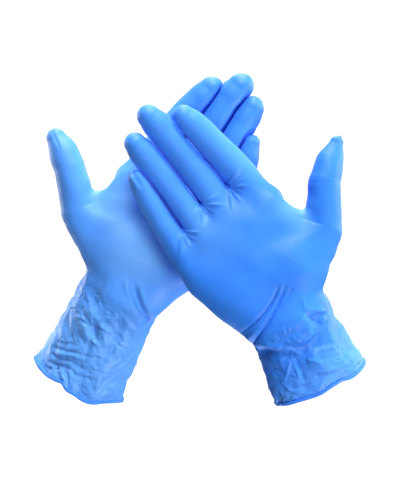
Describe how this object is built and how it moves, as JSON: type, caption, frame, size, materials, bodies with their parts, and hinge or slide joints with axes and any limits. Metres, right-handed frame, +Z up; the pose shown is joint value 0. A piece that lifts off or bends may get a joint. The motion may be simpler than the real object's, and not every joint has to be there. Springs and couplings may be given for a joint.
{
  "type": "disposable gloves",
  "caption": "Pair of thin blue disposable gloves in hand shape, crossed palms to the front, with rolled cuff beads; the fingers, thumbs and wrists bend",
  "frame": {"origin": "centre of the right glove's cuff opening, on the rim plane", "axes": "+Z up along the cross of the two gloves, +X to the right as the palms are seen, +Y from the palms to the backs of the hands, away from the viewer"},
  "size_m": [0.2232, 0.096, 0.228],
  "materials": {
    "film": "satin, thin blue nitrile film",
    "bead": "satin, rolled film"
  },
  "bodies": {
    "right_cuff": {"right_cuff": "film", "right_cuff_bead": "bead"},
    "right_palm": {"right_palm": "film"},
    "right_knuckles": {"right_knuckles": "film", "right_index_base": "film", "right_middle_base": "film", "right_ring_base": "film", "right_little_base": "film"},
    "right_index_mid": {"right_index_mid": "film"},
    "right_index_tip": {"right_index_tip": "film"},
    "right_middle_mid": {"right_middle_mid": "film"},
    "right_middle_tip": {"right_middle_tip": "film"},
    "right_ring_mid": {"right_ring_mid": "film"},
    "right_ring_tip": {"right_ring_tip": "film"},
    "right_little_mid": {"right_little_mid": "film"},
    "right_little_tip": {"right_little_tip": "film"},
    "right_thumb_base": {"right_thumb_base": "film"},
    "right_thumb_tip": {"right_thumb_tip": "film"},
    "left_cuff": {"left_cuff": "film", "left_cuff_bead": "bead"},
    "left_palm": {"left_palm": "film"},
    "left_knuckles": {"left_knuckles": "film", "left_index_base": "film", "left_middle_base": "film", "left_ring_base": "film", "left_little_base": "film"},
    "left_index_mid": {"left_index_mid": "film"},
    "left_index_tip": {"left_index_tip": "film"},
    "left_middle_mid": {"left_middle_mid": "film"},
    "left_middle_tip": {"left_middle_tip": "film"},
    "left_ring_mid": {"left_ring_mid": "film"},
    "left_ring_tip": {"left_ring_tip": "film"},
    "left_little_mid": {"left_little_mid": "film"},
    "left_little_tip": {"left_little_tip": "film"},
    "left_thumb_base": {"left_thumb_base": "film"},
    "left_thumb_tip": {"left_thumb_tip": "film"}
  },
  "joints": [
    {"name": "right_wrist_bend", "type": "hinge", "parent": "right_cuff", "child": "right_palm", "pos_m": [-0.02204, -0.01398, 0.04727], "axis": [0.7986, 0, 0.6018], "range_deg": [0, 34]},
    {"name": "right_knuckles_bend", "type": "hinge", "parent": "right_palm", "child": "right_knuckles", "pos_m": [-0.06537, -0.01398, 0.10477], "axis": [0.7986, 0, 0.6018], "range_deg": [0, 56]},
    {"name": "right_index_middle_bend", "type": "hinge", "parent": "right_knuckles", "child": "right_index_mid", "pos_m": [-0.06823, -0.01705, 0.15598], "axis": [0.7254, 0, 0.6884], "range_deg": [0, 66]},
    {"name": "right_index_end_bend", "type": "hinge", "parent": "right_index_mid", "child": "right_index_tip", "pos_m": [-0.085, -0.02267, 0.17364], "axis": [0.7254, 0, 0.6884], "range_deg": [0, 42]},
    {"name": "right_middle_middle_bend", "type": "hinge", "parent": "right_knuckles", "child": "right_middle_mid", "pos_m": [-0.09016, -0.01739, 0.1498], "axis": [0.7986, 0, 0.6018], "range_deg": [0, 66]},
    {"name": "right_middle_end_bend", "type": "hinge", "parent": "right_middle_mid", "child": "right_middle_tip", "pos_m": [-0.10658, -0.02369, 0.17159], "axis": [0.7986, 0, 0.6018], "range_deg": [0, 42]},
    {"name": "right_ring_middle_bend", "type": "hinge", "parent": "right_knuckles", "child": "right_ring_mid", "pos_m": [-0.10201, -0.01711, 0.13212], "axis": [0.7986, 0, 0.6018], "range_deg": [0, 66]},
    {"name": "right_ring_end_bend", "type": "hinge", "parent": "right_ring_mid", "child": "right_ring_tip", "pos_m": [-0.11726, -0.02296, 0.15236], "axis": [0.7986, 0, 0.6018], "range_deg": [0, 42]},
    {"name": "right_little_middle_bend", "type": "hinge", "parent": "right_knuckles", "child": "right_little_mid", "pos_m": [-0.10774, -0.01642, 0.1102], "axis": [0.8387, 0, 0.5446], "range_deg": [0, 66]},
    {"name": "right_little_end_bend", "type": "hinge", "parent": "right_little_mid", "child": "right_little_tip", "pos_m": [-0.11861, -0.02103, 0.12696], "axis": [0.8387, 0, 0.5446], "range_deg": [0, 42]},
    {"name": "right_thumb_bend", "type": "hinge", "parent": "right_palm", "child": "right_thumb_base", "pos_m": [0.00312, -0.01898, 0.10693], "axis": [0.4999, -0.866, -0.0087], "range_deg": [0, 32]},
    {"name": "right_thumb_end_bend", "type": "hinge", "parent": "right_thumb_base", "child": "right_thumb_tip", "pos_m": [0.00364, -0.01898, 0.13693], "axis": [0.4999, -0.866, -0.0087], "range_deg": [0, 44]},
    {"name": "gloves_apart", "type": "slide", "parent": "right_cuff", "child": "left_cuff", "axis": [0, 1, 0], "range_m": [0, 0.15]},
    {"name": "left_wrist_bend", "type": "hinge", "parent": "left_cuff", "child": "left_palm", "pos_m": [-0.13504, 0.02002, 0.06027], "axis": [0.848, 0, -0.5299], "range_deg": [-34, 0]},
    {"name": "left_knuckles_bend", "type": "hinge", "parent": "left_palm", "child": "left_knuckles", "pos_m": [-0.09689, 0.02002, 0.12133], "axis": [0.848, 0, -0.5299], "range_deg": [-24, 0]},
    {"name": "left_index_middle_bend", "type": "hinge", "parent": "left_knuckles", "child": "left_index_mid", "pos_m": [-0.10001, 0.02002, 0.1737], "axis": [0.788, 0, -0.6157], "range_deg": [0, 36]},
    {"name": "left_index_end_bend", "type": "hinge", "parent": "left_index_mid", "child": "left_index_tip", "pos_m": [-0.08466, 0.01828, 0.19336], "axis": [0.788, 0, -0.6157], "range_deg": [0, 26]},
    {"name": "left_middle_middle_bend", "type": "hinge", "parent": "left_knuckles", "child": "left_middle_mid", "pos_m": [-0.07779, 0.02002, 0.16953], "axis": [0.8387, 0, -0.5446], "range_deg": [0, 36]},
    {"name": "left_middle_end_bend", "type": "hinge", "parent": "left_middle_mid", "child": "left_middle_tip", "pos_m": [-0.06258, 0.01807, 0.19295], "axis": [0.8387, 0, -0.5446], "range_deg": [0, 26]},
    {"name": "left_ring_middle_bend", "type": "hinge", "parent": "left_knuckles", "child": "left_ring_mid", "pos_m": [-0.06474, 0.02002, 0.1531], "axis": [0.866, 0, -0.5], "range_deg": [0, 36]},
    {"name": "left_ring_end_bend", "type": "hinge", "parent": "left_ring_mid", "child": "left_ring_tip", "pos_m": [-0.05178, 0.01821, 0.17556], "axis": [0.866, 0, -0.5], "range_deg": [0, 26]},
    {"name": "left_little_middle_bend", "type": "hinge", "parent": "left_knuckles", "child": "left_little_mid", "pos_m": [-0.05605, 0.02002, 0.13078], "axis": [0.9135, 0, -0.4067], "range_deg": [0, 36]},
    {"name": "left_little_end_bend", "type": "hinge", "parent": "left_little_mid", "child": "left_little_tip", "pos_m": [-0.04773, 0.01859, 0.14947], "axis": [0.9135, 0, -0.4067], "range_deg": [0, 26]},
    {"name": "left_thumb_bend", "type": "hinge", "parent": "left_palm", "child": "left_thumb_base", "pos_m": [-0.16531, 0.01502, 0.11751], "axis": [0.4908, 0.866, 0.0954], "range_deg": [0, 32]},
    {"name": "left_thumb_end_bend", "type": "hinge", "parent": "left_thumb_base", "child": "left_thumb_tip", "pos_m": [-0.17104, 0.01502, 0.14696], "axis": [0.4908, 0.866, 0.0954], "range_deg": [0, 44]}
  ],
  "couplings": [
    {"joint": "right_index_end_bend", "follows": "right_index_middle_bend", "ratio": 0.6},
    {"joint": "right_middle_end_bend", "follows": "right_middle_middle_bend", "ratio": 0.6},
    {"joint": "right_ring_end_bend", "follows": "right_ring_middle_bend", "ratio": 0.6},
    {"joint": "right_little_end_bend", "follows": "right_little_middle_bend", "ratio": 0.6},
    {"joint": "right_thumb_end_bend", "follows": "right_thumb_bend", "ratio": 1.3},
    {"joint": "left_index_middle_bend", "follows": "left_knuckles_bend", "ratio": -1.4},
    {"joint": "left_index_end_bend", "follows": "left_knuckles_bend", "ratio": -1},
    {"joint": "left_middle_middle_bend", "follows": "left_knuckles_bend", "ratio": -1.4},
    {"joint": "left_middle_end_bend", "follows": "left_knuckles_bend", "ratio": -1},
    {"joint": "left_ring_middle_bend", "follows": "left_knuckles_bend", "ratio": -1.4},
    {"joint": "left_ring_end_bend", "follows": "left_knuckles_bend", "ratio": -1},
    {"joint": "left_little_middle_bend", "follows": "left_knuckles_bend", "ratio": -1.4},
    {"joint": "left_little_end_bend", "follows": "left_knuckles_bend", "ratio": -1},
    {"joint": "left_thumb_end_bend", "follows": "left_thumb_bend", "ratio": 1.3}
  ]
}
